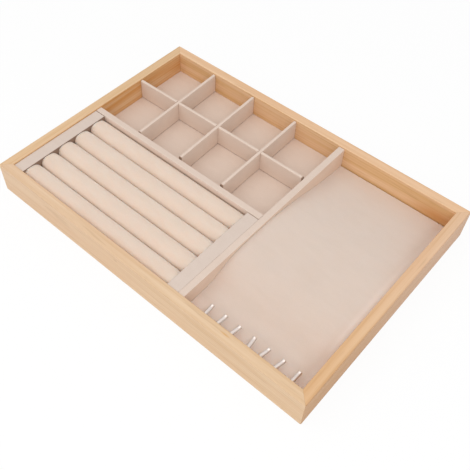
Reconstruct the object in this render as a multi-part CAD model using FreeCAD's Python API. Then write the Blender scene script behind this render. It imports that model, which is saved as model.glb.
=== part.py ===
import FreeCAD, Part
import math
import os

from FreeCAD import Vector

# Open jewelry tray: a mitred wooden frame round a base panel, with velvet-covered fittings in
# three bays. X runs along the front, Y from front to back, Z up. The origin is the middle of
# the footprint, on the surface that the tray stands on. Sizes are in millimetres.

# Wooden frame
tray_length = 350.0
tray_width = 240.0
tray_height = 32.0
rail_thickness = 9.5
corner_round = 1.0
rim_round = 0.5

# Base panel, held in a groove round the rails
panel_lift = 3.0
panel_thickness = 4.0
groove_depth = 4.0
groove_clearance = 0.2

# Thick fixed dividers
divider_thickness = 6.3
divider_drop = 1.3
divider_round = 0.4
glue_gap = 0.2

# Grid of thin loose dividers. They stand a little askew: each is set aside and turned, in degrees,
# about the middle of the long one, or about its own crossing with the long one.
cell_columns = 4
cell_length = 49.7
grid_thickness = 3.0
grid_round = 0.8
grid_foot_round = 0.7
grid_end_clearance = 0.4
long_right_gap = 1.4
long_shift = 0.6
long_turn = 0.6
cross_front_gaps = (0.4, 2.0, 1.8)
cross_shifts = (0.6, 0.2, 0.0)
cross_turns = (2.0, 2.0, 0.9)
lap_clearance = 0.3
floor_card_thickness = 2.0

# Ring insert, loose in its bay. The rolls squeeze one another, so that each has a level stretch
# at its crown and its foot and a straight one at its sides. The strips stop short at the back.
roll_count = 5
roll_width = 20.0
roll_crown_flat = 2.0
roll_side_flat = 1.8
roll_gap = 0.2
roll_end_round = 2.0
roll_end_gap = 0.15
strip_width = 12.2
strip_round = 0.3
strip_back_inset = 0.8
insert_card_thickness = 2.0
insert_left_clearance = 0.25
insert_right_clearance = 0.05
insert_front_clearance = 0.15
insert_back_clearance = 0.25

# Arched necklace pad: a level trough, a rise to the crown, the crown, and a long fall to the back.
# A bend share is the part of a rise or fall that its first arc takes.
pad_side_clearance = 0.3
pad_edge_round = 0.5
trough_thickness = 8.0
trough_length = 24.5
rise_length = 50.0
rise_bend_share = 0.3
crown_drop = 2.5
crown_length = 22.0
fall_bend_share = 0.42
tail_thickness = 1.6
tail_overrun = 20.0

# Necklace hooks. Their tips stand in an even row, and each shank is turned a little, so that its
# root stands aside from its tip by about this share of the row's pitch.
hook_diameter = 3.5
hook_rise = 6.0
hook_reach = 14.4
hook_upturn = 20.0
hook_bend_radius = 4.0
hook_tip_length = 1.6
hook_tip_round = 0.3
hook_embed = 6.0
hook_fit = 0.05
hook_first_inset = 18.2
hook_last_inset = 11.6
hook_turns = (-0.05, 0.09, 0.16, -0.13, 0.16, 0.19, 0.02)

# Planes and places that follow from the sizes above
half_length = tray_length / 2
half_width = tray_width / 2
inner_x = half_length - rail_thickness
inner_y = half_width - rail_thickness
panel_top = panel_lift + panel_thickness
divider_top = tray_height - divider_drop
grid_floor_top = panel_top + floor_card_thickness
main_left = -inner_x + cell_columns * cell_length + (cell_columns - 1) * grid_thickness
main_right = main_left + divider_thickness
roll_pitch = roll_width + roll_gap
roll_round = (roll_width - roll_crown_flat) / 2
roll_height = 2 * roll_round + roll_side_flat
roll_row_depth = roll_count * roll_pitch - roll_gap
ring_bay_depth = insert_front_clearance + roll_row_depth + insert_back_clearance
bay_front = -inner_y + ring_bay_depth
bay_back = bay_front + divider_thickness
long_middle_x = (main_left - inner_x) / 2
long_middle_y = (bay_back + inner_y) / 2 + long_shift
lap_middle = (grid_floor_top + divider_top) / 2
trough_top = panel_top + trough_thickness
hook_height = trough_top + hook_rise
hook_row_start = main_right + hook_first_inset
hook_row_end = inner_x - hook_last_inset
hook_pitch = (hook_row_end - hook_row_start) / (len(hook_turns) - 1)


def block(x, y, z):
    """Box between the two ends of each range."""
    return Part.makeBox(x[1] - x[0], y[1] - y[0], z[1] - z[0], Vector(x[0], y[0], z[0]))


def prism(outline, height):
    """Solid over an outline of (x, y) points, from the bottom of the tray upwards."""
    points = [Vector(x, y, 0) for x, y in outline]
    return Part.Face(Part.makePolygon(points + points[:1])).extrude(Vector(0, 0, height))


def edges_at(shape, height):
    """Edges that lie level at a height."""
    level = 1e-6
    return [
        edge for edge in shape.Edges
        if all(abs(vertex.Z - height) < level for vertex in edge.Vertexes)
    ]


def edges_along(edges, axis):
    """Those edges that run straight along an axis, 0 for X, 1 for Y and 2 for Z."""
    straight = []
    for edge in edges:
        span = edge.Vertexes[-1].Point - edge.Vertexes[0].Point
        if abs(span[axis]) > edge.Length * 0.999:
            straight.append(edge)
    return straight


def covered_board(x, y, z, axis, edge_round):
    """Velvet-covered board that runs along an axis, with its two long top edges rounded."""
    board = block(x, y, z)
    return board.makeFillet(edge_round, edges_along(edges_at(board, z[1]), axis))


def loose_board(x, y, axis):
    """Thin board on the grid's floor, with its long edges rounded at the top and at the foot."""
    board = covered_board(x, y, (grid_floor_top, divider_top), axis, grid_round)
    return board.makeFillet(grid_foot_round, edges_along(edges_at(board, grid_floor_top), axis))


def turned(shape, x, y, degrees):
    """The shape turned about an upright line through a place."""
    result = shape.copy()
    result.rotate(Vector(x, y, 0), Vector(0, 0, 1), degrees)
    return result


def frame_ring():
    """The four rails in one piece, with the rounded corners and rim and the panel's groove."""
    ring = block((-half_length, half_length), (-half_width, half_width), (0, tray_height))
    ring = ring.makeFillet(corner_round, edges_along(ring.Edges, 2))
    ring = ring.makeFillet(rim_round, edges_at(ring, tray_height))
    well = block((-inner_x, inner_x), (-inner_y, inner_y), (0, tray_height))
    ring = ring.cut(well)
    inner_rim = [
        edge for edge in edges_at(ring, tray_height)
        if abs(edge.CenterOfMass.x) < inner_x + rim_round / 2
        and abs(edge.CenterOfMass.y) < inner_y + rim_round / 2
    ]
    ring = ring.makeFillet(rim_round, inner_rim)
    groove = block(
        (-inner_x - groove_depth, inner_x + groove_depth),
        (-inner_y - groove_depth, inner_y + groove_depth),
        (panel_lift, panel_top + groove_clearance),
    )
    return ring.cut(groove)


def mitred_rails():
    """The frame parted into rails along the mitre lines, with the front rail drilled for the hooks."""
    ring = frame_ring()
    depth = 2 * rail_thickness
    front = [
        (-half_length, -half_width),
        (half_length, -half_width),
        (half_length - depth, -half_width + depth),
        (-half_length + depth, -half_width + depth),
    ]
    right = [
        (half_length, -half_width),
        (half_length, half_width),
        (half_length - depth, half_width - depth),
        (half_length - depth, -half_width + depth),
    ]
    sides = {
        "front_rail": front,
        "back_rail": [(-x, -y) for x, y in front],
        "left_rail": [(-x, -y) for x, y in right],
        "right_rail": right,
    }
    rails = {name: ring.common(prism(outline, tray_height)) for name, outline in sides.items()}
    for index in range(len(hook_turns)):
        rails["front_rail"] = rails["front_rail"].cut(set_hook(hook_bore(), index))
    return rails


def base_panel():
    """Panel that rests on the lower lip of the rails' groove."""
    reach = groove_depth - groove_clearance
    return block(
        (-inner_x - reach, inner_x + reach),
        (-inner_y - reach, inner_y + reach),
        (panel_lift, panel_top),
    )


def thick_dividers():
    """The board beside the necklace bay, and the board between the ring rolls and the grid."""
    upright = (panel_top, divider_top)
    return {
        "main_divider": covered_board(
            (main_left, main_right), (-inner_y + glue_gap, inner_y - glue_gap), upright, 1, divider_round
        ),
        "bay_divider": covered_board(
            (-inner_x + glue_gap, main_left - glue_gap), (bay_front, bay_back), upright, 0, divider_round
        ),
    }


def grid_floor():
    """Velvet-covered card on the bottom of the cells."""
    return block(
        (-inner_x + glue_gap, main_left - glue_gap),
        (bay_back + glue_gap, inner_y - glue_gap),
        (panel_top, grid_floor_top),
    )


def grid_dividers():
    """Half-lapped boards: the long one is slotted from above, the cross ones from below."""
    half = grid_thickness / 2
    slot_half = half + lap_clearance
    long_y = (long_middle_y - half, long_middle_y + half)
    long_board = loose_board((-inner_x + grid_end_clearance, main_left - long_right_gap), long_y, 0)
    boards = {}
    for index in range(1, cell_columns):
        pattern = (index - 1) % len(cross_turns)
        middle = -inner_x + index * (cell_length + grid_thickness) - half + cross_shifts[pattern]
        crossing = long_middle_y + (middle - long_middle_x) * math.tan(math.radians(long_turn))
        long_slot = block(
            (middle - slot_half, middle + slot_half), long_y, (lap_middle - lap_clearance, divider_top)
        )
        long_board = long_board.cut(long_slot)
        cross_y = (bay_back + cross_front_gaps[pattern], inner_y - grid_end_clearance)
        cross = loose_board((middle - half, middle + half), cross_y, 1)
        cross_slot = block(
            (middle - half, middle + half),
            (crossing - slot_half, crossing + slot_half),
            (grid_floor_top, lap_middle + lap_clearance),
        )
        boards[f"grid_cross_divider_{index}"] = turned(
            cross.cut(cross_slot), middle, crossing, cross_turns[pattern]
        )
    boards["grid_long_divider"] = turned(long_board, long_middle_x, long_middle_y, long_turn)
    return boards


def ring_roll(x, y, z):
    """Foam roll along X: a bar with its four long edges well rounded, and its ends softened."""
    bar = block(x, y, z)
    bar = bar.makeFillet(roll_round, edges_along(bar.Edges, 0))
    rims = [edge for edge in bar.Edges if abs(edge.Vertexes[0].X - edge.Vertexes[-1].X) < roll_end_round]
    return bar.makeFillet(roll_end_round, rims)


def ring_insert():
    """Card with an end strip at each side and the rolls between them."""
    left = -inner_x + insert_left_clearance
    right = main_left - insert_right_clearance
    front = -inner_y + insert_front_clearance
    back = bay_front - insert_back_clearance
    card_top = panel_top + insert_card_thickness
    upright = (card_top, divider_top)
    strip_y = (front, back - strip_back_inset)
    roll_x = (left + strip_width + roll_end_gap, right - strip_width - roll_end_gap)
    roll_z = (card_top, card_top + roll_height)
    pieces = {
        "ring_insert_card": block((left, right), (front, back), (panel_top, card_top)),
        "ring_end_strip_left": covered_board(
            (left, left + strip_width), strip_y, upright, 1, strip_round
        ),
        "ring_end_strip_right": covered_board(
            (right - strip_width, right), strip_y, upright, 1, strip_round
        ),
    }
    for index in range(roll_count):
        roll_front = front + index * roll_pitch
        roll_y = (roll_front, roll_front + roll_width)
        pieces[f"ring_roll_{roll_count - index}"] = ring_roll(roll_x, roll_y, roll_z)
    return pieces


def arc(start, middle, end):
    """Round edge through three points."""
    return Part.Arc(start, middle, end).toShape()


def s_bend(start, end, share):
    """Two tangent arcs, level at both ends, that meet on the straight line from start to end."""
    chord_angle = math.atan2(end.z - start.z, end.y - start.y)
    meet = start + (end - start) * share

    def crest(first, last, side):
        half = (last - first) * 0.5
        return first + half + Vector(0, half.z, -half.y) * (side * math.tan(chord_angle / 2))

    return [
        arc(start, crest(start, meet, 1), meet),
        arc(meet, crest(meet, end, -1), end),
    ]


def necklace_pad():
    """Foam pad with its arched top, cut from the arch's whole run at the back rail."""
    front = -inner_y + pad_side_clearance
    back = inner_y - pad_side_clearance
    left = main_right + pad_side_clearance
    right = inner_x - pad_side_clearance
    crown_top = divider_top - crown_drop
    tail_top = panel_top + tail_thickness
    run_end = back + tail_overrun
    rise_start = front + trough_length
    crown_start = rise_start + rise_length
    crown_end = crown_start + crown_length

    def point(y, z):
        return Vector(left, y, z)

    trough = Part.makeLine(point(front, trough_top), point(rise_start, trough_top))
    rise = s_bend(point(rise_start, trough_top), point(crown_start, crown_top), rise_bend_share)
    crown = Part.makeLine(point(crown_start, crown_top), point(crown_end, crown_top))
    fall = s_bend(point(crown_end, crown_top), point(run_end, tail_top), fall_bend_share)
    closing = Part.makePolygon([
        point(run_end, tail_top),
        point(run_end, panel_top),
        point(front, panel_top),
        point(front, trough_top),
    ])
    outline = Part.Wire([trough, *rise, crown, *fall, *closing.Edges])
    whole = Part.Face(outline).extrude(Vector(right - left, 0, 0))
    pad = whole.common(block((left, right), (front, back), (panel_top, tray_height)))
    side_edges = [
        edge for edge in pad.Edges
        if min(vertex.Z for vertex in edge.Vertexes) > panel_top
        and abs(edge.Vertexes[0].X - edge.Vertexes[-1].X) < pad_edge_round
    ]
    return pad.makeFillet(pad_edge_round, side_edges)


def hook():
    """Bent wire hook along Y: a shank with its root behind the origin, turned up towards its tip."""
    upturn = math.radians(hook_upturn)
    bend_start = hook_reach - hook_bend_radius * math.sin(upturn) - hook_tip_length * math.cos(upturn)

    def on_bend(angle):
        aside = Vector(0, math.sin(angle), 1 - math.cos(angle))
        return Vector(0, bend_start, 0) + aside * hook_bend_radius

    root = Vector(0, -hook_embed, 0)
    tip = on_bend(upturn) + Vector(0, math.cos(upturn), math.sin(upturn)) * hook_tip_length
    path = Part.Wire([
        Part.makeLine(root, on_bend(0)),
        arc(on_bend(0), on_bend(upturn / 2), on_bend(upturn)),
        Part.makeLine(on_bend(upturn), tip),
    ])
    section = Part.Wire(Part.makeCircle(hook_diameter / 2, root, Vector(0, 1, 0)))
    wire = path.makePipeShell([section], True, True)
    tip_rim = [edge for edge in wire.Edges if (edge.CenterOfMass - tip).Length < hook_tip_round]
    return wire.makeFillet(hook_tip_round, tip_rim)


def hook_bore():
    """Drilled hole for a hook's root, run out past the rail's inner face."""
    radius = hook_diameter / 2 + hook_fit
    depth = hook_embed + hook_fit
    return Part.makeCylinder(radius, depth + hook_diameter, Vector(0, -depth, 0), Vector(0, 1, 0))


def set_hook(shape, index):
    """A hook or its bore, turned and set at its place in the row on the front rail."""
    turn = math.atan(hook_turns[index] * hook_pitch / hook_reach)
    tip_x = hook_row_start + index * hook_pitch
    root_x = tip_x - hook_reach * math.sin(turn)
    placed = turned(shape, 0, 0, -math.degrees(turn))
    placed.translate(Vector(root_x, -inner_y, hook_height))
    return placed


def necklace_hooks():
    """The row of hooks, counted from the main divider."""
    return {
        f"necklace_hook_{index + 1}": set_hook(hook(), index)
        for index in range(len(hook_turns))
    }


def tray():
    """Every piece of the tray by name."""
    return {
        **mitred_rails(),
        "base_panel": base_panel(),
        **thick_dividers(),
        "grid_floor": grid_floor(),
        **grid_dividers(),
        **ring_insert(),
        "necklace_pad": necklace_pad(),
        **necklace_hooks(),
    }


os.makedirs("parts", exist_ok=True)
for name, shape in tray().items():
    shape.exportStep(f"parts/{name}.step")
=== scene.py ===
"""Looks of an open jewelry tray: a lacquered wooden frame with velvet-covered fittings in three bays.

Sizes are in metres, in the frame that the tray's solids share: X along the front, Y from front to
back, Z up, and the origin in the middle of the footprint on the surface that the tray stands on.
"""

from __future__ import annotations

import logging
import math
from abc import ABC, abstractmethod
from dataclasses import dataclass, field, replace
from enum import Enum
from typing import Any, Iterable, Union

import bmesh
import bpy
import numpy as np
from mathutils import Matrix, Vector

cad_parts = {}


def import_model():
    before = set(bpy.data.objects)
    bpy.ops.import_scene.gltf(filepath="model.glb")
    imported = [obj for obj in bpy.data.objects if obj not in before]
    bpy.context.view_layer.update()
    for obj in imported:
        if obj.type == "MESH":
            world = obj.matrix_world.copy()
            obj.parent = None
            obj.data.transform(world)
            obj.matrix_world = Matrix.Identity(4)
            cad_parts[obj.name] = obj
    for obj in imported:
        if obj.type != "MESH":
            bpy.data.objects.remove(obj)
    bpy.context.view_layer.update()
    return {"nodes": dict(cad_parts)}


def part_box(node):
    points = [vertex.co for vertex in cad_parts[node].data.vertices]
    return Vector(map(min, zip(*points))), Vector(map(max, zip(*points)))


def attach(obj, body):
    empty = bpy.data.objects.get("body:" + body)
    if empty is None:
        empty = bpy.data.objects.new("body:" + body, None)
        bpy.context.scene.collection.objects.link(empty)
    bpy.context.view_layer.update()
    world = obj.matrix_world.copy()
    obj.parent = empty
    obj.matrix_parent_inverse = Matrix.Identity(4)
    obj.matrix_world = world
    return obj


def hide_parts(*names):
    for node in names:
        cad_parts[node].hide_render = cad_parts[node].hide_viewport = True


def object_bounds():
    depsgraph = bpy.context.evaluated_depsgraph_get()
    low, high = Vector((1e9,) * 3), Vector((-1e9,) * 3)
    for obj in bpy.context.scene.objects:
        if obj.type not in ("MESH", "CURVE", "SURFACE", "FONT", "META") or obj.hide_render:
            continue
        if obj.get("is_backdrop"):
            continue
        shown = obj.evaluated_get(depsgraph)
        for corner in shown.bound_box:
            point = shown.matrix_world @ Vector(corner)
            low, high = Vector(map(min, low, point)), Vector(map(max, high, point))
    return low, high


MM = 0.001
LOG = logging.getLogger("jewelry_tray")

Colour = tuple[float, float, float]
Point = tuple[float, float, float]
Span = tuple[float, float]
Value = Union["Field", float, Point, tuple[float, float, float, float]]

WHITE: Colour = (1.0, 1.0, 1.0)
MERGE = 0.002 * MM
SLIVER = 0.001 * MM
TINY = 1e-12


class Grain(Enum):
    """The axis that the wood's fibres run along."""

    ALONG_X = "x"
    ALONG_Y = "y"


class Axis(Enum):
    """An axis of the tray's frame, by its number."""

    X = 0
    Y = 1
    Z = 2


def rgba(colour: Colour) -> tuple[float, float, float, float]:
    """The colour with full opacity, as a colour socket takes it."""
    return (*colour, 1.0)


class Field:
    """One output socket of a node tree, with arithmetic that adds Math nodes to the tree."""

    def __init__(self, sheet: NodeSheet, socket: bpy.types.NodeSocket) -> None:
        """Wraps a socket.

        Args:
            sheet: The node sheet that new nodes go to.
            socket: The output socket to wrap.
        """
        self.sheet = sheet
        self.socket = socket

    def _math(self, operation: str, *terms: Value) -> Field:
        """One Math node over the terms.

        Args:
            operation: The Math node's operation.
            terms: Values or fields, in the order of the node's sockets.

        Returns:
            The node's result.
        """
        return self.sheet.add("ShaderNodeMath", {"operation": operation}, dict(enumerate(terms)))

    def __add__(self, other: Value) -> Field:
        """The sum of the two."""
        return self._math("ADD", self, other)

    def __radd__(self, other: Value) -> Field:
        """The sum of the two."""
        return self._math("ADD", other, self)

    def __sub__(self, other: Value) -> Field:
        """The difference of the two."""
        return self._math("SUBTRACT", self, other)

    def __rsub__(self, other: Value) -> Field:
        """The difference of the two."""
        return self._math("SUBTRACT", other, self)

    def __mul__(self, other: Value) -> Field:
        """The product of the two."""
        return self._math("MULTIPLY", self, other)

    def __rmul__(self, other: Value) -> Field:
        """The product of the two."""
        return self._math("MULTIPLY", other, self)

    def __truediv__(self, other: Value) -> Field:
        """The quotient of the two."""
        return self._math("DIVIDE", self, other)

    def __rtruediv__(self, other: Value) -> Field:
        """The quotient of the two."""
        return self._math("DIVIDE", other, self)

    def __pow__(self, power: Value) -> Field:
        """The field raised to a power."""
        return self._math("POWER", self, power)

    def __abs__(self) -> Field:
        """The field without its sign."""
        return self._math("ABSOLUTE", self)

    def fraction(self) -> Field:
        """What is left of the field after its whole part."""
        return self._math("FRACT", self)

    def larger(self, other: Value) -> Field:
        """The larger of the two."""
        return self._math("MAXIMUM", self, other)

    def step(self, low: float, high: float) -> Field:
        """Smooth rise from 0 to 1.

        Args:
            low: Where the rise starts.
            high: Where it ends.

        Returns:
            The smoothed field.
        """
        return self.sheet.add(
            "ShaderNodeMapRange",
            {"interpolation_type": "SMOOTHSTEP"},
            {"Value": self, "From Min": low, "From Max": high},
        )


class NodeSheet:
    """A node tree that is filled by expressions."""

    def __init__(self, tree: bpy.types.NodeTree) -> None:
        """Starts with an empty tree.

        Args:
            tree: The node tree of a material or a world.
        """
        self.tree = tree
        tree.nodes.clear()

    def add(
        self,
        kind: str,
        settings: dict[str, Any] | None = None,
        inputs: dict[int | str, Value] | None = None,
        output: int | str = 0,
    ) -> Field:
        """Adds one node.

        Args:
            kind: The node's type.
            settings: Properties of the node, which are set first.
            inputs: A value or a field for each input socket, by name or number.
            output: The output socket to return.

        Returns:
            The chosen output.
        """
        node = self.tree.nodes.new(kind)
        for name, value in (settings or {}).items():
            setattr(node, name, value)
        for key, value in (inputs or {}).items():
            if isinstance(value, Field):
                self.tree.links.new(value.socket, node.inputs[key])
            else:
                node.inputs[key].default_value = value
        return Field(self, node.outputs[output])

    def close(self, kind: str, shader: Field) -> None:
        """Links a shader to a new output node of the given type."""
        self.tree.links.new(shader.socket, self.tree.nodes.new(kind).inputs["Surface"])

    def place(self) -> tuple[Field, Field, Field]:
        """The surface point's X, Y and Z in the piece's own coordinates."""
        point = self.add("ShaderNodeTexCoord", output="Object")
        x = self.add("ShaderNodeSeparateXYZ", None, {"Vector": point}, "X")
        parts = x.socket.node.outputs
        return x, Field(self, parts["Y"]), Field(self, parts["Z"])

    def vector(self, x: Value, y: Value, z: Value) -> Field:
        """The vector with these three parts."""
        return self.add("ShaderNodeCombineXYZ", None, {"X": x, "Y": y, "Z": z})

    def scaled(self, place: Iterable[Field], scales: Point) -> Field:
        """The vector of a place, with each of its parts multiplied by a scale."""
        return self.vector(*(part * scale for part, scale in zip(place, scales)))

    def noise(self, vector: Field, detail: float = 2.0, warp: float = 0.0) -> Field:
        """Noise about one unit in size.

        Args:
            vector: Where the noise is read.
            detail: How many finer layers it has.
            warp: How far the layers bend one another.

        Returns:
            The noise, from 0 to 1.
        """
        return self.add(
            "ShaderNodeTexNoise",
            None,
            {"Vector": vector, "Scale": 1.0, "Detail": detail, "Distortion": warp},
        )

    def mix(self, share: Value, first: Value, second: Value) -> Field:
        """Mixes two colours.

        Args:
            share: How much of the second colour there is.
            first: A colour or a field of colours.
            second: A colour or a field of colours.

        Returns:
            The mixed colour.
        """
        return self.add("ShaderNodeMix", {"data_type": "RGBA"}, {0: share, 6: first, 7: second}, 2)

    def tint(self, share: Field, colour: Field, glaze: Colour) -> Field:
        """Multiplies a colour by a glaze.

        Args:
            share: How much of the glaze shows.
            colour: The colour under it.
            glaze: The factor on each of the colour's parts.

        Returns:
            The glazed colour.
        """
        settings = {"data_type": "RGBA", "blend_type": "MULTIPLY"}
        return self.add("ShaderNodeMix", settings, {0: share, 6: colour, 7: rgba(glaze)}, 2)

    def bump(self, height: Field, depth: float, strength: float) -> Field:
        """A bumped normal.

        Args:
            height: The relief, from 0 to 1.
            depth: The relief's real depth.
            strength: How much of it shows.

        Returns:
            The normal.
        """
        return self.add(
            "ShaderNodeBump", None, {"Height": height, "Distance": depth, "Strength": strength}
        )


class Finish(ABC):
    """A surface finish that can be made into a material."""

    name: str

    @abstractmethod
    def shade(self, sheet: NodeSheet) -> Field:
        """Adds the finish to a node sheet and returns its shader."""

    def material(self) -> bpy.types.Material:
        """The finish as a new material."""
        made = bpy.data.materials.new(self.name)
        made.use_nodes = True
        sheet = NodeSheet(made.node_tree)
        sheet.close("ShaderNodeOutputMaterial", self.shade(sheet))
        LOG.info("mixed finish %s", self.name)
        return made


@dataclass(frozen=True)
class Knot:
    """A small knot in the wood: where it sits, how far it runs along the grain, its tone and its strength."""

    centre: Point
    radius: float
    stretch: float
    swirl: float
    tone: Colour
    strength: float


@dataclass(frozen=True)
class GrainNoise:
    """Noise drawn out along the grain: its cells in a metre along and across it, and its finer layers.

    Its mask rises from 0 to 1 between a low and a high value of the noise.
    """

    along: float
    across: float
    layers: float
    low: float = 0.0
    high: float = 1.0

    def read(self, sheet: NodeSheet, way: tuple[Field, Field, Field]) -> Field:
        """The noise at a point.

        Args:
            sheet: The node sheet that it goes to.
            way: The point's place along the grain, across it and up.

        Returns:
            The noise, from 0 to 1.
        """
        return sheet.noise(sheet.scaled(way, (self.along, self.across, self.across)), self.layers)

    def mask(self, noise: Field) -> Field:
        """Where the noise is high."""
        return noise.step(self.low, self.high)


@dataclass(frozen=True)
class Wood(Finish):
    """Matt lacquered wood with straight, low-contrast grain.

    Its depth moves every tone towards the deep one, and its cast tints the whole board. Where an
    inner or outer face is given, by its distance from the middle of the tray, that face is darkened
    with painted shade, warmer on the inner face as painted light bounced off wood and velvet, and
    the inner shade follows the streaks. A far tint fades in along the grain, between minus and plus
    its reach. A mitre is how much further out a corner's seam lies along X than along Y.
    """

    name: str
    grain: Grain
    heart: Span
    pale: Colour = (0.80, 0.565, 0.345)
    deep: Colour = (0.66, 0.41, 0.205)
    blush: Colour = (0.74, 0.48, 0.27)
    depth: float = 0.0
    cast: Colour = WHITE
    # The inner and outer shade tints are painted shade, which darkens those faces as faces in shade.
    inner_face: float | None = None
    inner_shade_tint: Colour = (1.0, 0.90, 0.78)
    inner_shade_fade: Span = (0.05 * MM, 0.5 * MM)
    inner_shade_streaks: Span = (0.35, 0.7)
    inner_shade_even: float = 0.3
    outer_face: float | None = None
    outer_shade_tint: Colour = WHITE
    outer_shade_fade: Span = (-1.0 * MM, -0.1 * MM)
    far_tint: Colour | None = None
    far_reach: float = 110.0 * MM
    drift: GrainNoise = GrainNoise(5.0, 45.0, 2.0)
    drift_reach: float = 3.0 * MM
    ring_width: float = 2.6 * MM
    late_wood: Span = (0.35, 0.9)
    ring_share: float = 0.3
    streaks: GrainNoise = GrainNoise(6.0, 240.0, 3.0, 0.28, 0.74)
    streak_share: float = 0.5
    fibres: GrainNoise = GrainNoise(16.0, 950.0, 2.0, 0.3, 0.75)
    fibre_share: float = 0.25
    patches: GrainNoise = GrainNoise(14.0, 60.0, 2.0, 0.35, 0.7)
    patch_share: float = 0.45
    flecks: GrainNoise = GrainNoise(26.0, 330.0, 1.0, 0.64, 0.76)
    fleck_share: float = 0.3
    fleck_tone: float = 0.8
    pores: GrainNoise = GrainNoise(110.0, 2600.0, 1.0, 0.62, 0.78)
    pore_share: float = 0.2
    pore_tone: float = 0.62
    pore_depth: float = 0.6
    relief: float = 0.12 * MM
    relief_share: float = 0.35
    roughness: float = 0.56
    rough_range: float = 0.16
    gloss: float = 0.2
    mitre: float | None = None
    seam_fade: Span = (0.05 * MM, 0.4 * MM)
    seam_share: float = 0.25
    seam_tone: float = 0.5
    knots: tuple[Knot, ...] = ()
    swirl_radii: float = 4.0

    def shade(self, sheet: NodeSheet) -> Field:
        """Growth rings round a heart line, crossed by long streaks, fibres and short pores."""
        place = sheet.place()
        x, y, z = place
        along, across = (x, y) if self.grain is Grain.ALONG_X else (y, x)
        way = (along, across, z)
        reach = ((across - self.heart[0]) ** 2.0 + (z - self.heart[1]) ** 2.0) ** 0.5
        reach = reach + (self.drift.read(sheet, way) - 0.5) * self.drift_reach
        eyes = []
        for knot in self.knots:
            gap = self._gap(sheet, knot, place)
            reach = reach + (1.0 - gap.step(0.0, knot.radius * self.swirl_radii)) * knot.swirl
            eyes.append(((1.0 - gap.step(0.0, knot.radius)) * knot.strength, knot.tone))
        tooth = (reach / self.ring_width).fraction()
        begin, end = self.late_wood
        ring = tooth.step(begin, end) * (1.0 - tooth.step(end, 1.0))
        streak, fibre = self.streaks.read(sheet, way), self.fibres.read(sheet, way)
        patch, fleck, pore = (
            noise.mask(noise.read(sheet, way)) for noise in (self.patches, self.flecks, self.pores)
        )
        tone = self.streaks.mask(streak) * self.streak_share + self.fibres.mask(fibre) * self.fibre_share
        tone = tone + ring * self.ring_share + self.depth
        colour = sheet.mix(tone, rgba(self._under(self.pale)), rgba(self._under(self.deep)))
        colour = sheet.mix(patch * self.patch_share, colour, rgba(self._under(self.blush)))
        colour = sheet.mix(fleck * self.fleck_share, colour, rgba(self._under(self.deep, self.fleck_tone)))
        colour = sheet.mix(pore * self.pore_share, colour, rgba(self._under(self.deep, self.pore_tone)))
        for eye, stain in eyes:
            colour = sheet.mix(eye, colour, rgba(stain))
        colour = self._tinted(sheet, colour, way, streak)
        if self.mitre is not None:
            seam = 1.0 - abs(abs(x) - abs(y) - self.mitre).step(*self.seam_fade)
            colour = sheet.mix(seam * self.seam_share, colour, rgba(self._under(self.deep, self.seam_tone)))
        return sheet.add(
            "ShaderNodeBsdfPrincipled",
            None,
            {
                "Base Color": colour,
                "Roughness": fibre * self.rough_range + (self.roughness - self.rough_range / 2),
                "Specular IOR Level": self.gloss,
                "Normal": sheet.bump(fibre - pore * self.pore_depth, self.relief, self.relief_share),
            },
        )

    def _tinted(
        self, sheet: NodeSheet, colour: Field, way: tuple[Field, Field, Field], streak: Field
    ) -> Field:
        """The colour under the painted shade of the outer and inner faces, and under the far end's tint.

        Args:
            sheet: The node sheet that they go to.
            colour: The colour under them.
            way: The point's place along the grain, across it and up.
            streak: The long streaks.

        Returns:
            The tinted colour.
        """
        along, across, _ = way
        # Painted shade on the outer face.
        if self.outer_face is not None:
            begin, end = (self.outer_face + shift for shift in self.outer_shade_fade)
            colour = sheet.tint(abs(across).step(begin, end), colour, self.outer_shade_tint)
        # Painted shade on the inner face, darker and warmer, following the streaks.
        if self.inner_face is not None:
            begin, end = (self.inner_face + shift for shift in self.inner_shade_fade)
            share = streak.step(*self.inner_shade_streaks) * (1.0 - self.inner_shade_even) + self.inner_shade_even
            colour = sheet.tint((1.0 - abs(across).step(begin, end)) * share, colour, self.inner_shade_tint)
        if self.far_tint is not None:
            colour = sheet.tint(along.step(-self.far_reach, self.far_reach), colour, self.far_tint)
        return colour

    def _under(self, tone: Colour, share: float = 1.0) -> Colour:
        """A tone under the board's cast, darkened to a share of itself."""
        return tuple(part * factor * share for part, factor in zip(tone, self.cast))

    def _gap(self, sheet: NodeSheet, knot: Knot, place: Iterable[Field]) -> Field:
        """Distance from a knot's centre, with the stretch along the grain taken out."""
        parts = [part - middle for part, middle in zip(place, knot.centre)]
        lengthwise = 0 if self.grain is Grain.ALONG_X else 1
        parts[lengthwise] = parts[lengthwise] / knot.stretch
        return sheet.add(
            "ShaderNodeVectorMath", {"operation": "LENGTH"}, {0: sheet.vector(*parts)}, "Value"
        )


@dataclass(frozen=True)
class LightAndShadeEdge:
    """Painted light and shade near a plane: a glaze within a reach of it, fading beyond it.

    One edge may lie within another, and then shows only where both do.
    """

    axis: Axis
    plane: float
    reach: float
    fade: float
    glaze: Colour
    within: LightAndShadeEdge | None = None

    def share(self, place: tuple[Field, Field, Field]) -> Field:
        """How much of the glaze shows.

        Args:
            place: The surface point's X, Y and Z.

        Returns:
            The share, from 0 to 1.
        """
        away = abs(place[self.axis.value] - self.plane).step(self.reach, self.reach + self.fade)
        near = 1.0 - away
        return near if self.within is None else near * self.within.share(place)


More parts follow.
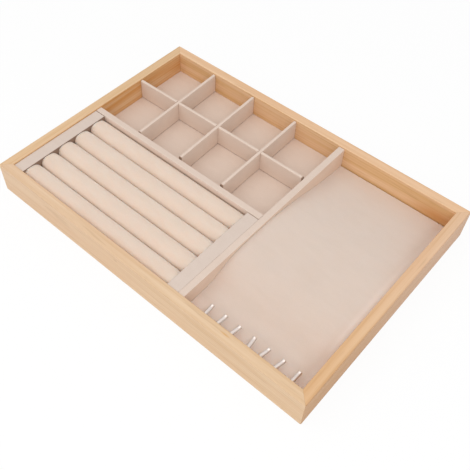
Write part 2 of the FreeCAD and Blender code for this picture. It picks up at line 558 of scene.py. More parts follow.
@dataclass(frozen=True)
class Velvet(Finish):
    """Short-piled velvet: a fine pile, faint brushed patches, and a soft sheen at glancing angles.

    Its scatter is how far light travels inside the pile, which lightens creases in soft foam.
    """

    name: str
    pale: Colour
    deep: Colour
    # Its edges are painted light and shade near planes, which lighten or darken the velvet.
    edges: tuple[LightAndShadeEdge, ...] = ()
    pile: float = 2300.0
    pile_range: Span = (0.25, 0.8)
    pile_depth: float = 0.22 * MM
    pile_relief: float = 0.3
    patches: Point = (42.0, 112.0, 112.0)
    patch_layers: float = 3.0
    patch_warp: float = 0.6
    patch_range: Span = (0.25, 0.75)
    brushing: float = 0.3
    roughness: float = 0.86
    rough_range: float = 0.12
    gloss: float = 0.15
    sheen: float = 0.12
    sheen_roughness: float = 0.45
    sheen_tint: Colour = (1.0, 0.93, 0.87)
    scatter: float = 0.0
    scatter_tint: Colour = (1.0, 0.85, 0.75)

    def shade(self, sheet: NodeSheet) -> Field:
        """Fine pile over broad brushed patches, under the painted light and shade of its edges."""
        place = sheet.place()
        pile = sheet.noise(sheet.scaled(place, (self.pile, self.pile, self.pile)))
        brushed = sheet.noise(sheet.scaled(place, self.patches), self.patch_layers, self.patch_warp)
        tone = brushed.step(*self.patch_range) * self.brushing
        tone = tone + pile.step(*self.pile_range) * (1.0 - self.brushing)
        colour = sheet.mix(tone, rgba(self.deep), rgba(self.pale))
        for edge in self.edges:
            colour = sheet.tint(edge.share(place), colour, edge.glaze)
        return sheet.add(
            "ShaderNodeBsdfPrincipled",
            None,
            {
                "Base Color": colour,
                "Roughness": pile * self.rough_range + self.roughness,
                "Specular IOR Level": self.gloss,
                "Normal": sheet.bump(pile, self.pile_depth, self.pile_relief),
                "Sheen Weight": self.sheen,
                "Sheen Roughness": self.sheen_roughness,
                "Sheen Tint": rgba(self.sheen_tint),
                "Subsurface Weight": 1.0 if self.scatter > 0.0 else 0.0,
                "Subsurface Radius": self.scatter_tint,
                "Subsurface Scale": self.scatter,
            },
        )


@dataclass(frozen=True)
class Plating(Finish):
    """Bright nickel plate over drawn wire, with faint lines along the draw."""

    name: str
    colour: Colour = (0.70, 0.625, 0.58)
    worn: Colour = (0.58, 0.52, 0.475)
    worn_share: float = 0.6
    roughness: float = 0.48
    lines: Point = (3200.0, 180.0, 3200.0)
    line_rough: float = 0.06
    line_depth: float = 0.03 * MM
    line_relief: float = 0.2
    spots: float = 420.0
    spot_layers: float = 3.0
    spot_range: Span = (0.55, 0.8)
    spot_rough: float = 0.1

    def shade(self, sheet: NodeSheet) -> Field:
        """Draw lines along Y and a few dull spots."""
        place = sheet.place()
        line = sheet.noise(sheet.scaled(place, self.lines))
        spot = sheet.noise(sheet.scaled(place, (self.spots, self.spots, self.spots)), self.spot_layers)
        spot = spot.step(*self.spot_range)
        rough = spot * self.spot_rough + line * self.line_rough + (self.roughness - self.line_rough / 2)
        return sheet.add(
            "ShaderNodeBsdfPrincipled",
            None,
            {
                "Base Color": sheet.mix(spot * self.worn_share, rgba(self.colour), rgba(self.worn)),
                "Metallic": 1.0,
                "Roughness": rough,
                "Normal": sheet.bump(line, self.line_depth, self.line_relief),
            },
        )


def seen(sheet: NodeSheet) -> Field:
    """1 for rays from the camera, from a reflection and through glass, and 0 for lighting."""
    camera = sheet.add("ShaderNodeLightPath", output="Is Camera Ray")
    rays = camera.socket.node.outputs
    glossy, through = Field(sheet, rays["Is Glossy Ray"]), Field(sheet, rays["Is Transmission Ray"])
    return camera.larger(glossy).larger(through)


@dataclass(frozen=True)
class PaleFloor(Finish):
    """White floor that the camera sees as white, with a share of its own shading for the shadow."""

    name: str
    colour: Colour = (0.95, 0.95, 0.95)
    white_share: float = 0.9

    def shade(self, sheet: NodeSheet) -> Field:
        """A mix of plain white and a matt surface where the camera or a reflection sees it."""
        matt = sheet.add(
            "ShaderNodeBsdfPrincipled",
            None,
            {"Base Color": rgba(self.colour), "Roughness": 1.0, "Specular IOR Level": 0.0},
        )
        white = sheet.add("ShaderNodeEmission", None, {"Color": rgba(WHITE), "Strength": 1.0})
        return sheet.add("ShaderNodeMixShader", None, {0: seen(sheet) * self.white_share, 1: matt, 2: white})


def read_points(mesh: bpy.types.Mesh) -> np.ndarray:
    """The mesh's vertices as rows of X, Y and Z."""
    points = np.empty(len(mesh.vertices) * 3, np.float32)
    mesh.vertices.foreach_get("co", points)
    return points.reshape(-1, 3).astype(float)


def write_points(mesh: bpy.types.Mesh, points: np.ndarray) -> None:
    """Puts the mesh's vertices at new places."""
    mesh.vertices.foreach_set("co", points.astype(np.float32).ravel())
    mesh.update()


def cap(ring: np.ndarray, core: np.ndarray, count: int) -> np.ndarray:
    """Rings that fill an end: straight lines from a collapsed core out to the ring.

    Args:
        ring: The end's outer ring, of shape (points, 3).
        core: The place that each of its points collapses to, of the same shape.
        count: How many rings to make, without the outer one.

    Returns:
        The rings from the core outwards, of shape (count, points, 3).
    """
    share = np.linspace(0.0, 1.0, count + 1)[:-1, None, None]
    return core + (ring - core) * share


def skin(name: str, rings: np.ndarray) -> bpy.types.Object:
    """Closed tube through a row of rings.

    Neighbouring rings are joined by quads, point by point and right round. The first and last
    rings are collapsed ones, whose coinciding points are merged to close the ends.

    Args:
        name: The piece's name.
        rings: Points of shape (rings, points in a ring, 3).

    Returns:
        The new piece, smooth shaded, with its faces outwards.
    """
    count, size, _ = rings.shape
    index = np.arange(count * size).reshape(count, size)
    after = np.roll(index, -1, axis=1)
    quads = np.stack([index[:-1], index[1:], after[1:], after[:-1]], axis=-1).reshape(-1, 4)
    mesh = bpy.data.meshes.new(name)
    mesh.from_pydata(rings.reshape(-1, 3).tolist(), [], quads.tolist())
    work = bmesh.new()
    work.from_mesh(mesh)
    bmesh.ops.remove_doubles(work, verts=work.verts, dist=MERGE)
    bmesh.ops.dissolve_degenerate(work, edges=work.edges, dist=SLIVER)
    bmesh.ops.recalc_face_normals(work, faces=work.faces)
    work.to_mesh(mesh)
    work.free()
    mesh.shade_smooth()
    piece = bpy.data.objects.new(name, mesh)
    bpy.context.scene.collection.objects.link(piece)
    return piece


def soften(piece: bpy.types.Object) -> None:
    """One level of subdivision, the same in every view."""
    smooth = piece.modifiers.new("Smooth", "SUBSURF")
    smooth.levels = smooth.render_levels = 1


@dataclass(frozen=True)
class CoverPress:
    """Short cloth simulation that presses a velvet cover outwards from its foam."""

    most_move: float
    pressure: float = 4.0
    weight: float = 0.02
    stretch: float = 6.0
    frames: int = 20

    def run(self, cover: bpy.types.Object) -> None:
        """Swells the cover, with no point moved further than the cap.

        Args:
            cover: The closed cover, which keeps the result in its own mesh.
        """
        start = read_points(cover.data)
        cloth = cover.modifiers.new("Cover", "CLOTH")
        settings = cloth.settings
        settings.use_pressure = True
        settings.uniform_pressure_force = self.pressure
        settings.mass = self.weight
        settings.tension_stiffness = self.stretch
        settings.compression_stiffness = self.stretch
        settings.shear_stiffness = self.stretch
        settings.effector_weights.gravity = 0.0
        scene = bpy.context.scene
        for number in range(1, self.frames + 1):
            scene.frame_set(number)
        pressed = cover.evaluated_get(bpy.context.evaluated_depsgraph_get())
        move = read_points(pressed.data) - start
        cover.modifiers.remove(cloth)
        scene.frame_set(1)
        length = np.linalg.norm(move, axis=1, keepdims=True) + TINY
        capped = self.most_move * np.tanh(length / self.most_move)
        write_points(cover.data, start + move / length * capped)
        LOG.info("pressed %s by up to %.2f mm, of %.2f", cover.name, capped.max() / MM, length.max() / MM)


class SubAssembly(ABC):
    """A group of the tray's pieces that is built and dressed together."""

    @abstractmethod
    def build(self) -> None:
        """Makes the new pieces of the group."""

    @abstractmethod
    def dress(self) -> None:
        """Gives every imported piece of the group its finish."""


@dataclass
class Bench:
    """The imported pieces, which the groups dress."""

    nodes: dict[str, bpy.types.Object]

    def paint(self, names: Iterable[str], material: bpy.types.Material) -> None:
        """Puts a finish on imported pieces.

        Args:
            names: The pieces' names.
            material: The finish.
        """
        for name in names:
            slots = self.nodes[name].data.materials
            slots.clear()
            slots.append(material)
            LOG.info("dressed %s in %s", name, material.name)

    def numbered(self, stem: str) -> list[str]:
        """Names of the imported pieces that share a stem, in order."""
        return sorted(name for name in self.nodes if name.startswith(stem))


@dataclass(frozen=True)
class RailLook:
    """What tells one rail's wood from the next."""

    grain: Grain
    heart: float
    depth: float
    cast: Colour
    # Painted shade on the rail's inner face.
    inner_shade_tint: Colour = (1.0, 0.85, 0.66)
    far_tint: Colour | None = None
    knots: tuple[Knot, ...] = ()


@dataclass
class WoodenFrame(SubAssembly):
    """Four mitred rails and the panel in their groove."""

    bench: Bench
    heart_drop: float = 60.0 * MM
    heart_aside: float = 35.0 * MM
    # Painted shade that darkens the right rail's outer face.
    outer_shade_tint: Colour = (0.83, 0.80, 0.80)
    face_knot: Knot = Knot(
        centre=(-20.6 * MM, -120.0 * MM, 25.3 * MM),
        radius=2.2 * MM,
        stretch=1.6,
        swirl=1.6 * MM,
        tone=(0.41, 0.25, 0.13),
        strength=0.35,
    )
    rim_knot: Knot = Knot(
        centre=(95.3 * MM, -114.4 * MM, 32.0 * MM),
        radius=1.3 * MM,
        stretch=5.5,
        swirl=0.6 * MM,
        tone=(0.66, 0.36, 0.13),
        strength=0.75,
    )
    # Painted shade in the back right inner corner, darker and more orange where the rails meet, over a darker
    # stave of the back rail.
    corner_stain_and_shade: Knot = Knot(
        centre=(152.0 * MM, 110.5 * MM, 15.0 * MM),
        radius=13.0 * MM,
        stretch=3.0,
        swirl=0.0,
        tone=(0.57, 0.225, 0.04),
        strength=0.66,
    )
    panel: Wood = Wood(
        "panel_wood",
        Grain.ALONG_X,
        heart=(0.0, -4.0),
        pale=(0.78, 0.62, 0.44),
        deep=(0.66, 0.48, 0.31),
        blush=(0.74, 0.56, 0.40),
        ring_width=7.0 * MM,
        roughness=0.6,
    )

    def build(self) -> None:
        """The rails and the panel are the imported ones, so nothing is added."""

    def dress(self) -> None:
        """Wood with its fibres along each rail, and rings round a heart line outside it."""
        low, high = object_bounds()
        back_inner, right_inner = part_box("back_rail")[0].y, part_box("right_rail")[0].x
        inner = {Grain.ALONG_X: back_inner, Grain.ALONG_Y: right_inner}
        front_heart, back_heart = low.y + self.heart_aside, high.y + self.heart_aside
        left_heart, right_heart = low.x - self.heart_aside, high.x - self.heart_aside
        # Each inner shade tint is painted shade on that rail's inner face; the left rail's is the darkest and
        # most orange.
        rails = {
            "front_rail": RailLook(
                Grain.ALONG_X,
                front_heart,
                depth=-0.12,
                cast=(0.978, 1.012, 1.14),
                far_tint=(0.975, 0.982, 0.955),
                knots=(self.face_knot, self.rim_knot),
            ),
            "back_rail": RailLook(
                Grain.ALONG_X,
                back_heart,
                depth=0.0,
                cast=(1.07, 1.04, 1.11),
                inner_shade_tint=(0.89, 0.84, 0.63),
                knots=(self.corner_stain_and_shade,),
            ),
            "left_rail": RailLook(
                Grain.ALONG_Y,
                left_heart,
                depth=0.16,
                cast=(1.02, 1.05, 1.11),
                inner_shade_tint=(0.90, 0.62, 0.30),
            ),
            "right_rail": RailLook(
                Grain.ALONG_Y,
                right_heart,
                depth=0.08,
                cast=(0.95, 0.892, 0.85),
                far_tint=(1.107, 1.19, 1.44),
            ),
        }
        for name, look in rails.items():
            wood = Wood(
                f"wood_{name}",
                look.grain,
                (look.heart, -self.heart_drop),
                depth=look.depth,
                cast=look.cast,
                inner_face=inner[look.grain],
                inner_shade_tint=look.inner_shade_tint,
                # Painted shade on the right rail's outer face.
                outer_face=high.x if name == "right_rail" else None,
                outer_shade_tint=self.outer_shade_tint,
                far_tint=look.far_tint,
                mitre=high.x - high.y,
                knots=look.knots,
            )
            self.bench.paint([name], wood.material())
        self.bench.paint(["base_panel"], self.panel.material())


@dataclass
class DividerSet(SubAssembly):
    """The thick dividers and the loose grid with its floor card."""

    bench: Bench
    velvet: Velvet = Velvet("board_velvet", (0.75, 0.615, 0.525), (0.69, 0.55, 0.46))
    grid_velvet: Velvet = Velvet("grid_velvet", (0.78, 0.64, 0.545), (0.72, 0.575, 0.48))
    painted_face_fade: float = 0.1 * MM
    foot_shade_reach: float = 0.6 * MM
    end_shade_reach: float = 0.7 * MM
    shade_edge_fade: float = 0.4 * MM
    # Painted shade at the thin boards' feet on the floor card and at their ends by a thick board, where the
    # gaps are.
    gap_shade_glaze: Colour = (0.44, 0.35, 0.29)
    # Painted light on the thick boards' faces towards the pad and the rolls, which lie in shade.
    pad_face_light: Colour = (1.065, 1.02, 0.975)
    roll_face_light: Colour = (1.12, 1.12, 1.12)
    # Painted shade in a line on the bay divider, where the last roll meets it.
    crease_shade_glaze: Colour = (0.72, 0.70, 0.68)
    crease_shade_height: float = 24.0 * MM
    crease_shade_reach: float = 0.6 * MM
    crease_shade_fade: float = 1.2 * MM

    def build(self) -> None:
        """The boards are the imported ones, so nothing is added."""

    def dress(self) -> None:
        """Velvet on every board.

        The thick boards' faces towards the pad and the rolls are lightened with painted light, with a
        line of painted shade where the last roll meets the bay divider. The thin boards have painted
        shade at the foot and at the end by a thick board.
        """
        main_right, bay_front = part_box("main_divider")[1].x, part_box("bay_divider")[0].y
        # Painted light on the faces towards the pad and the rolls.
        pad_face_light = LightAndShadeEdge(Axis.X, main_right, 0.0, self.painted_face_fade, self.pad_face_light)
        roll_face_light = LightAndShadeEdge(Axis.Y, bay_front, 0.0, self.painted_face_fade, self.roll_face_light)
        self._dress("main_divider", self.velvet, pad_face_light)
        # Painted shade where the last roll meets the bay divider, only on its face towards the rolls.
        crease_shade_edge = LightAndShadeEdge(Axis.Z, self.crease_shade_height, self.crease_shade_reach, self.crease_shade_fade, self.crease_shade_glaze, roll_face_light)
        self._dress("bay_divider", self.velvet, roll_face_light, crease_shade_edge)
        self._dress("grid_floor", self.grid_velvet)
        long_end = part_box("grid_long_divider")[1].x
        self._dress("grid_long_divider", self.grid_velvet, self._foot_shade(), self._end_shade(Axis.X, long_end))
        for name in self.bench.numbered("grid_cross_divider_"):
            self._dress(name, self.grid_velvet, self._foot_shade(), self._end_shade(Axis.Y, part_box(name)[0].y))

    def _foot_shade(self) -> LightAndShadeEdge:
        """Painted shade at the foot of the thin boards, just above the floor card."""
        return LightAndShadeEdge(Axis.Z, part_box("grid_floor")[1].z, self.foot_shade_reach, self.shade_edge_fade, self.gap_shade_glaze)

    def _end_shade(self, axis: Axis, plane: float) -> LightAndShadeEdge:
        """Painted shade at an end of a thin board."""
        return LightAndShadeEdge(axis, plane, self.end_shade_reach, self.shade_edge_fade, self.gap_shade_glaze)

    def _dress(self, name: str, velvet: Velvet, *edges: LightAndShadeEdge) -> None:
        """Velvet with its own edges on one board.

        Args:
            name: The board.
            velvet: The velvet on it.
            edges: Where its nap differs.
        """
        self.bench.paint([name], replace(velvet, name=f"velvet_{name}", edges=edges).material())


@dataclass
class RingInsert(SubAssembly):
    """Foam rolls between two end strips, on a card that lifts out."""

    bench: Bench
    body: str = "ring_insert"
    velvet: Velvet = Velvet("roll_velvet", (0.797, 0.66, 0.557), (0.735, 0.592, 0.488), scatter=2.5 * MM)
    strip_velvet: Velvet = Velvet("strip_velvet", (0.715, 0.60, 0.525), (0.655, 0.535, 0.46))
    painted_face_fade: float = 0.15 * MM
    # Painted shade on the strips' inner faces and on the card between them, for the dark holes at the rolls'
    # ends.
    hole_shade_glaze: Colour = (0.42, 0.34, 0.29)
    end_round: float = 0.3 * MM
    end_dish: float = 0.15 * MM
    end_rings: int = 6
    end_room: float = -0.1 * MM
    side_room: float = 0.05 * MM
    station: float = 2.4 * MM
    sides: int = 48
    fullness: float = 2.75
    tuck: float = 0.8 * MM
    tuck_reach: float = 8.0 * MM
    end_rise: float = 1.2 * MM
    rise_reach: float = 4.5 * MM
    gathers: int = 17
    gather_depth: float = 0.1 * MM
    gather_reach: float = 1.6 * MM
    gather_core: float = 1.0 * MM
    waver: float = 0.06 * MM
    waver_turn: float = 1.7
    press: CoverPress = field(default_factory=lambda: CoverPress(most_move=0.15 * MM))

    def build(self) -> None:
        """One stuffed roll in the place of each packed one."""
        velvet = self.velvet.material()
        for order, name in enumerate(self.bench.numbered("ring_roll_")):
            roll = self._roll(name, order)
            roll.data.materials.append(velvet)
            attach(roll, self.body)
            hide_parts(name)
            LOG.info("built %s", roll.name)

    def dress(self) -> None:
        """Velvet on the strips and the card, with painted shade between the strips. The rolls have theirs
        already.
        """
        strips = self.bench.numbered("ring_end_strip_")
        (_, left), (right, _) = (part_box(name) for name in strips)
        middle, reach = (left.x + right.x) / 2, (right.x - left.x) / 2
        # Painted shade between the strips: on their inner faces and on the card.
        between = LightAndShadeEdge(Axis.X, middle, reach, self.painted_face_fade, self.hole_shade_glaze)
        velvet = replace(self.strip_velvet, edges=(between,)).material()
        self.bench.paint(["ring_insert_card", *strips], velvet)

    def _roll(self, node: str, order: int) -> bpy.types.Object:
        """One roll.

        The surface is an oval carried along X: the powers of its width and height shares add up to
        one, with a power over two, because the rolls press on each other. It shrinks along a
        quarter circle at each end, and the end faces dish in towards a pole. After the cover is
        pressed, its back tucks in and radial gathers fade in towards the ends, and the foot lies
        flat on the card.

        Args:
            node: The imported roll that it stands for.
            order: Its number in the row, which sets how it wavers.

        Returns:
            The roll in its place.
        """
        low, high = (np.array(corner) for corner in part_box(node))
        low = low + (self.end_room, self.side_room, 0.0)
        high = high - (self.end_room, self.side_room, 0.0)
        middle = (low + high) / 2
        half, wide, tall = (high - low) / 2
        inset, _ = self._end_profile(wide)
        straight = np.linspace(-half + self.end_round, half - self.end_round, int(2 * half / self.station))
        x = np.concatenate([inset - half, straight[1:-1], half - inset[::-1]])
        angle = np.linspace(0.0, 2.0 * np.pi, self.sides, endpoint=False)
        powers = np.abs(np.cos(angle)) ** self.fullness + np.abs(np.sin(angle)) ** self.fullness
        swell = powers ** (-1.0 / self.fullness)
        y = self._sizes(wide, len(straight)) * swell * np.cos(angle)
        z = self._sizes(tall, len(straight)) * swell * np.sin(angle)
        roll = skin(f"{node}_cover", np.stack([np.broadcast_to(x[:, None], y.shape), y, z], axis=-1))
        self.press.run(roll)
        points = self._gathered(read_points(roll.data), half, order) + middle
        points[:, 2] = np.maximum(points[:, 2], low[2])
        write_points(roll.data, points)
        soften(roll)
        return roll

    def _sizes(self, radius: float, straight: int) -> np.ndarray:
        """The half width or half height of every ring, as a column.

        Args:
            radius: The half width or half height between the ends.
            straight: How many rings the stretch between the ends has.

        Returns:
            The sizes from end to end.
        """
        _, reach = self._end_profile(radius)
        return np.concatenate([reach, np.full(straight - 2, radius), reach[::-1]])[:, None]

    def _end_profile(self, radius: float) -> tuple[np.ndarray, np.ndarray]:
        """Half of an end: how far each ring lies in from the end, and its half width or half height.

        The face dishes in as one minus the square of its radius share, and a quarter circle joins
        it to the wall.

        Args:
            radius: The roll's half width or half height.

        Returns:
            The insets and the sizes, from the pole outwards.
        """
        flat = radius - self.end_round
        share = np.linspace(0.0, 1.0, self.end_rings)
        turn = np.linspace(0.0, np.pi / 2, self.end_rings)[1:]
        inset = np.concatenate([self.end_dish * (1 - share**2), self.end_round * (1 - np.cos(turn))])
        reach = np.concatenate([flat * share, flat + self.end_round * np.sin(turn)])
        return inset, reach

    def _gathered(self, points: np.ndarray, half: float, order: int) -> np.ndarray:
        """Draws gathers into the ends, tucks the back in there and lets the roll swell and waver.

        A gather is a cosine round the axis, scaled by an exponential of the distance from the end.
        The back draws in with the square of how near the end is, inside the tuck's reach. The upper
        half rises by another exponential of that distance, where the foam is pushed against a
        strip, and most at the front.

        Args:
            points: The roll's points round the X axis.
            half: Half of the roll's length.
            order: The roll's number in the row.

        Returns:
            The new points.
        """
        x, y, z = points.T
        ending = np.clip(1.0 - (half - np.abs(x)) / self.tuck_reach, 0.0, 1.0)
        y = y - self.tuck * ending**2 * np.clip(y / y.max(), 0.0, 1.0)
        radius = np.hypot(y, z)
        near = np.exp(-np.clip(half - np.abs(x), 0.0, None) / self.gather_reach)
        fold = 0.5 + 0.5 * np.cos(self.gathers * np.arctan2(z, y) + np.sign(x) + order)
        pull = self.gather_depth * near * fold * np.minimum(1.0, radius / self.end_round)
        shrink = 1.0 - pull / (radius + self.gather_core)
        wave = np.sin(np.pi * x / half + self.waver_turn * order) - 1.0
        lift = self.waver * wave * (1.0 - near)
        pushed = np.exp(-np.clip(half - np.abs(x), 0.0, None) / self.rise_reach)
        lift = lift + self.end_rise * pushed * np.clip(z / z.max(), 0.0, 1.0) * (1.0 - y / np.abs(y).max())
        return np.stack([x, y * shrink, z * shrink + lift], axis=1)


@dataclass
class NecklaceBay(SubAssembly):
    """Arched foam pad under a row of plated hooks."""

    bench: Bench
    body: str = "tray"
    node: str = "necklace_pad"
    velvet: Velvet = Velvet("pad_velvet", (0.74, 0.62, 0.54), (0.688, 0.569, 0.488), scatter=1.5 * MM)
    # Painted light that lightens the pad near the front rail and the right rail, against the shade they cast.
    front_light_glaze: Colour = (1.12, 1.135, 1.16)
    front_light_reach: float = 9.2 * MM
    front_light_fade: float = 11.0 * MM
    side_light_glaze: Colour = (1.08, 1.10, 1.13)
    side_light_reach: float = 3.5 * MM
    side_light_fade: float = 5.0 * MM
    cover_room: float = 0.3 * MM
    side_swell: float = 0.3 * MM
    back_swell: float = 0.25 * MM
    flank: float = 1.3 * MM
    edge_width: float = 1.0 * MM
    edge_drop: float = 0.25 * MM
    most_drop: float = 0.45
    most_width: float = 2.6
    most_foot: float = 0.3
    sag: float = 0.9 * MM
    sag_width: float = 26.0 * MM
    foot_round: float = 1.0 * MM
    front_round: float = 2.0 * MM
    back_round: float = 0.8 * MM
    station: float = 3.4 * MM
    corner_steps: int = 7
    flank_steps: int = 4
    end_steps: int = 6
    front_rings: int = 4
    back_rings: int = 3
    ease: float = 5.0 * MM
    foot_margin: float = 0.5 * MM
    end_margin: float = 1.3 * MM
    line_width: float = 0.05 * MM
    press: CoverPress = field(default_factory=lambda: CoverPress(pressure=6.0, most_move=0.6 * MM))

    def build(self) -> None:
        """The pad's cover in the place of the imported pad, with painted light at the front and the right."""
        pad = self._pad()
        low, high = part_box(self.node)
        # Painted light near the front rail and the right rail.
        front = LightAndShadeEdge(Axis.Y, low.y, self.front_light_reach, self.front_light_fade, self.front_light_glaze)
        side = LightAndShadeEdge(Axis.X, high.x, self.side_light_reach, self.side_light_fade, self.side_light_glaze)
        pad.data.materials.append(replace(self.velvet, edges=(front, side)).material())
        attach(pad, self.body)
        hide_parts(self.node)
        LOG.info("built %s", pad.name)

    def dress(self) -> None:
        """Nickel plate on the hooks. The pad is dressed as it is made."""
        self.bench.paint(self.bench.numbered("necklace_hook_"), Plating("hook_plate").material())

    def _arch(self, low: Vector, high: Vector) -> tuple[np.ndarray, np.ndarray]:
        """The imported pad's top line from front to back, eased as foam under a cover is.

        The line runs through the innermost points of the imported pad's top.

        Args:
            low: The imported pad's lowest corner.
            high: Its highest corner.

        Returns:
            Y values a millimetre apart, and the top's height at each.
        """
        points = read_points(self.bench.nodes[self.node].data)
        raised = points[:, 2] > low.z + self.foot_margin
        clear = np.abs(points[:, 1]) < high.y - self.end_margin
        top = points[raised & clear]
        aside = np.abs(top[:, 0] - (low.x + high.x) / 2)
        top = top[aside < aside.min() + self.line_width]
        top = top[np.argsort(top[:, 1])]
        line = np.arange(low.y, high.y, MM)
        height = np.interp(line, top[:, 1], top[:, 2])
        width = int(self.ease / MM)
        window = np.hanning(2 * width + 1)
        padded = np.pad(height, width, mode="edge")
        return line, np.convolve(padded, window / window.sum(), mode="valid")

    def _section(self, half: np.ndarray, tall: np.ndarray) -> tuple[np.ndarray, np.ndarray, np.ndarray]:
        """The pad's section at each station.

        It is a rectangle with quarter ellipses for its top corners and quarter circles at its foot,
        which shrink where the pad is low. Each end closes on the section's middle line, which the
        third result follows across.

        Args:
            half: Half of the width at each station.
            tall: The height at each station.

        Returns:
            X and Z round the section, from the right foot up and over, and the middle line's X.
        """
        half, tall = half[:, None], tall[:, None]
        drop = np.minimum(self.edge_drop, self.most_drop * tall)
        wide = np.minimum(self.edge_width, self.most_width * drop)
        foot = np.minimum(self.foot_round, self.most_foot * tall)
        turn = np.linspace(0.0, np.pi / 2, self.corner_steps)[None, :]
        rise = np.linspace(0.0, 1.0, self.flank_steps)[None, 1:-1]
        span = np.linspace(1.0, -1.0, int(2 * half.max() / self.station))[None, 1:-1]
        upright = np.broadcast_to(half, (len(half), rise.size))
        flank_x = np.concatenate(
            [half - foot + foot * np.sin(turn), upright, half - wide + wide * np.cos(turn)], axis=1
        )
        flank_z = np.concatenate(
            [
                foot - foot * np.cos(turn),
                foot + rise * (tall - drop - foot),
                tall - drop + drop * np.sin(turn),
            ],
            axis=1,
        )
        x = np.concatenate([flank_x, (half - wide) * span, -flank_x[:, ::-1], -(half - foot) * span], axis=1)
        across = (len(half), span.size)
        top, foot_line = np.broadcast_to(tall, across), np.zeros(across)
        z = np.concatenate([flank_z, top, flank_z[:, ::-1], foot_line], axis=1)
        core = half - tall / 2
        flank = np.broadcast_to(core, flank_x.shape)
        middle = np.concatenate([flank, core * span, -flank, -core * span], axis=1)
        return x, z, middle

    def _filled(self, points: np.ndarray, low: Vector, high: Vector) -> np.ndarray:
        """The pressed cover, spread to the full width of its bay and kept inside its room.

        The distance from the middle is scaled, so that the widest point touches the sides, and what
        then lies within a flank's width of the sides is laid flat against them.

        Args:
            points: The pressed cover's points.
            low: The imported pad's lowest corner.
            high: Its highest corner.

        Returns:
            The new points.
        """
        middle, reach = (low.x + high.x) / 2, (high.x - low.x) / 2 + self.side_swell
        spread = points.copy()
        away = points[:, 0] - middle
        wide = np.abs(away) * (reach / np.abs(away).max())
        spread[:, 0] = middle + np.sign(away) * np.where(wide > reach - self.flank, reach, wide)
        top = (high.x + self.side_swell, high.y + self.back_swell, high.z)
        return np.clip(spread, (low.x - self.side_swell, low.y, low.z), top)

    def _pad(self) -> bpy.types.Object:
        """The pad's cover: its section carried along the arch, with rounded ends.

        At an end the section shrinks by one minus the sine of a quarter turn, while it moves along
        by one minus the cosine. Towards the right rail the foam sags with the square of the way
        across, in proportion to its height.

        Returns:
            The pad in its place.
        """
        low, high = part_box(self.node)
        line, top = self._arch(low, high)
        front, back = low.y + self.cover_room, high.y + self.back_swell
        turn = np.linspace(0.0, np.pi / 2, self.end_steps)
        begin = front + self.front_round * (1 - np.cos(turn))
        end = back - self.back_round * (1 - np.cos(turn[::-1]))
        body = np.linspace(begin[-1], end[0], int((end[0] - begin[-1]) / self.station))[1:-1]
        y = np.concatenate([begin, body, end])
        shrink = np.concatenate(
            [
                self.front_round * (1 - np.sin(turn)),
                np.zeros_like(body),
                self.back_round * (1 - np.sin(turn[::-1])),
            ]
        )
        half = (high.x - low.x) / 2 + self.side_swell - shrink
        tall = np.interp(y, line, top) - low.z - self.cover_room - shrink
        x, z, middle = self._section(half, tall)
        depth = np.repeat(y[:, None], x.shape[1], axis=1)
        rings = np.stack([x, depth, z], axis=-1)
        cores = np.stack([middle, depth, np.repeat(tall[:, None] / 2, x.shape[1], axis=1)], axis=-1)
        front_cap = cap(rings[0], cores[0], self.front_rings)
        back_cap = cap(rings[-1], cores[-1], self.back_rings)[::-1]
        rings = np.concatenate([front_cap, rings, back_cap], axis=0)
        rings += np.array([(low.x + high.x) / 2, 0.0, low.z])
        pad = skin(f"{self.node}_cover", rings)
        self.press.run(pad)
        points = self._filled(read_points(pad.data), low, high)
        share = np.clip((points[:, 0] - high.x) / self.sag_width + 1.0, 0.0, 1.0)
        points[:, 2] -= self.sag * share**2 * (points[:, 2] - low.z) / (high.z - low.z)
        write_points(pad.data, points)
        soften(pad)
        return pad


@dataclass(frozen=True)
class SoftBox:
    """Large square lamp that faces a point on the tray.

    Its share is the part of full light that it gives a surface there that faces it: at full light
    a colour looks as it is written.
    """

    name: str
    azimuth: float
    elevation: float
    share: float
    distance: float = 1.1
    size: float = 0.9

    def hang(self, aim: Vector) -> None:
        """Makes the lamp.

        Args:
            aim: The point that it faces.
        """
        lamp = bpy.data.lights.new(self.name, "AREA")
        lamp.size = self.size
        lamp.energy = self.share * math.pi**2 * self.distance**2
        held = bpy.data.objects.new(self.name, lamp)
        back = bearing(self.azimuth, self.elevation)
        held.location = aim + back * self.distance
        held.rotation_mode = "QUATERNION"
        held.rotation_quaternion = back.to_track_quat("Z", "Y")
        bpy.context.scene.collection.objects.link(held)
        LOG.info("hung %s", self.name)


def bearing(azimuth: float, elevation: float) -> Vector:
    """Direction from the tray towards a viewer.

    Args:
        azimuth: Degrees round from the front, towards the right.
        elevation: Degrees above the horizon.

    Returns:
        The unit vector.
    """
    turn, rise = math.radians(azimuth), math.radians(elevation)
    return Vector((math.sin(turn) * math.cos(rise), -math.cos(turn) * math.cos(rise), math.sin(rise)))


@dataclass(frozen=True)
class Viewpoint:
    """Camera above the front right corner."""

    aim: Point = (14.53 * MM, -35.86 * MM, 16.0 * MM)
    distance: float = 583.1 * MM
    azimuth: float = 41.0916
    elevation: float = 51.6531
    roll: float = 0.7771
    lens: float = 50.92
    sensor: float = 36.0
    shift: Span = (0.04404, -0.00917)
    clip: Span = (0.01, 50.0)

    def place(self) -> None:
        """Makes the camera and looks through it."""
        camera = bpy.data.cameras.new("camera")
        camera.lens = self.lens
        camera.sensor_width = self.sensor
        camera.shift_x, camera.shift_y = self.shift
        camera.clip_start, camera.clip_end = self.clip
        held = bpy.data.objects.new("camera", camera)
        back = bearing(self.azimuth, self.elevation)
        level = Vector((0.0, 0.0, 1.0)).cross(back).normalized()
        tilt = math.radians(self.roll)
        right = level * math.cos(tilt) + back.cross(level) * math.sin(tilt)
        turned = Matrix((right, back.cross(right), back)).transposed().to_4x4()
        turned.translation = Vector(self.aim) + back * self.distance
        held.matrix_world = turned
        bpy.context.scene.collection.objects.link(held)
        bpy.context.scene.camera = held


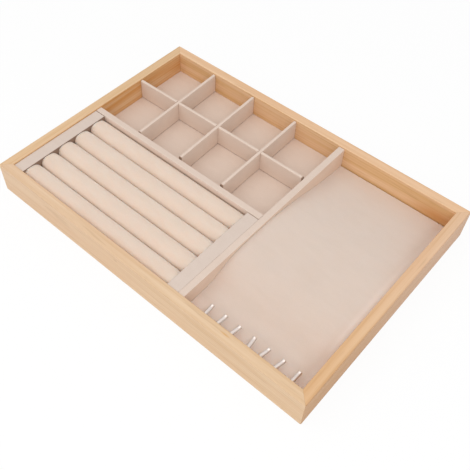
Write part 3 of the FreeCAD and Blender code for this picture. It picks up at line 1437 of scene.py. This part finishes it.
@dataclass
class Studio:
    """White sweep with soft light from all round and a little more from the front."""

    floor_half: float = 3.0
    sky: float = 0.71
    boxes: tuple[SoftBox, ...] = (
        SoftBox("key_light", azimuth=44.0, elevation=50.0, share=0.325),
        SoftBox("fill_light", azimuth=-35.0, elevation=56.0, share=0.165),
    )
    viewpoint: Viewpoint = field(default_factory=Viewpoint)

    def set_up(self) -> None:
        """Lays the floor, lights the tray and places the camera."""
        self._lay_floor()
        self._light_sky()
        low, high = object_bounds()
        for box in self.boxes:
            box.hang((low + high) / 2)
        self.viewpoint.place()
        bpy.context.scene.view_settings.view_transform = "Standard"

    def _lay_floor(self) -> None:
        """One flat square under the tray."""
        corner = np.array([-self.floor_half, self.floor_half])
        x, y = np.meshgrid(corner, corner)
        points = np.stack([x.ravel(), y.ravel(), np.zeros(4)], axis=1)
        mesh = bpy.data.meshes.new("floor")
        mesh.from_pydata(points.tolist(), [], [(0, 1, 3, 2)])
        mesh.materials.append(PaleFloor("floor_white").material())
        floor = bpy.data.objects.new("floor", mesh)
        bpy.context.scene.collection.objects.link(floor)
        floor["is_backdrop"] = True

    def _light_sky(self) -> None:
        """Even light from all round, which the camera and reflections see as white."""
        world = bpy.data.worlds.new("studio")
        world.use_nodes = True
        sheet = NodeSheet(world.node_tree)
        ambient, white = (
            sheet.add("ShaderNodeBackground", None, {"Color": rgba(WHITE), "Strength": strength})
            for strength in (self.sky, 1.0)
        )
        sky = sheet.add("ShaderNodeMixShader", None, {0: seen(sheet), 1: ambient, 2: white})
        sheet.close("ShaderNodeOutputWorld", sky)
        bpy.context.scene.world = world


def main() -> None:
    """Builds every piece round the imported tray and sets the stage."""
    logging.basicConfig(level=logging.INFO, format="%(message)s")
    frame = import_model()
    bench = Bench(frame["nodes"])
    groups: tuple[SubAssembly, ...] = (
        WoodenFrame(bench),
        DividerSet(bench),
        RingInsert(bench),
        NecklaceBay(bench),
    )
    for group in groups:
        group.build()
        group.dress()
    Studio().set_up()


if __name__ == "__main__":
    main()
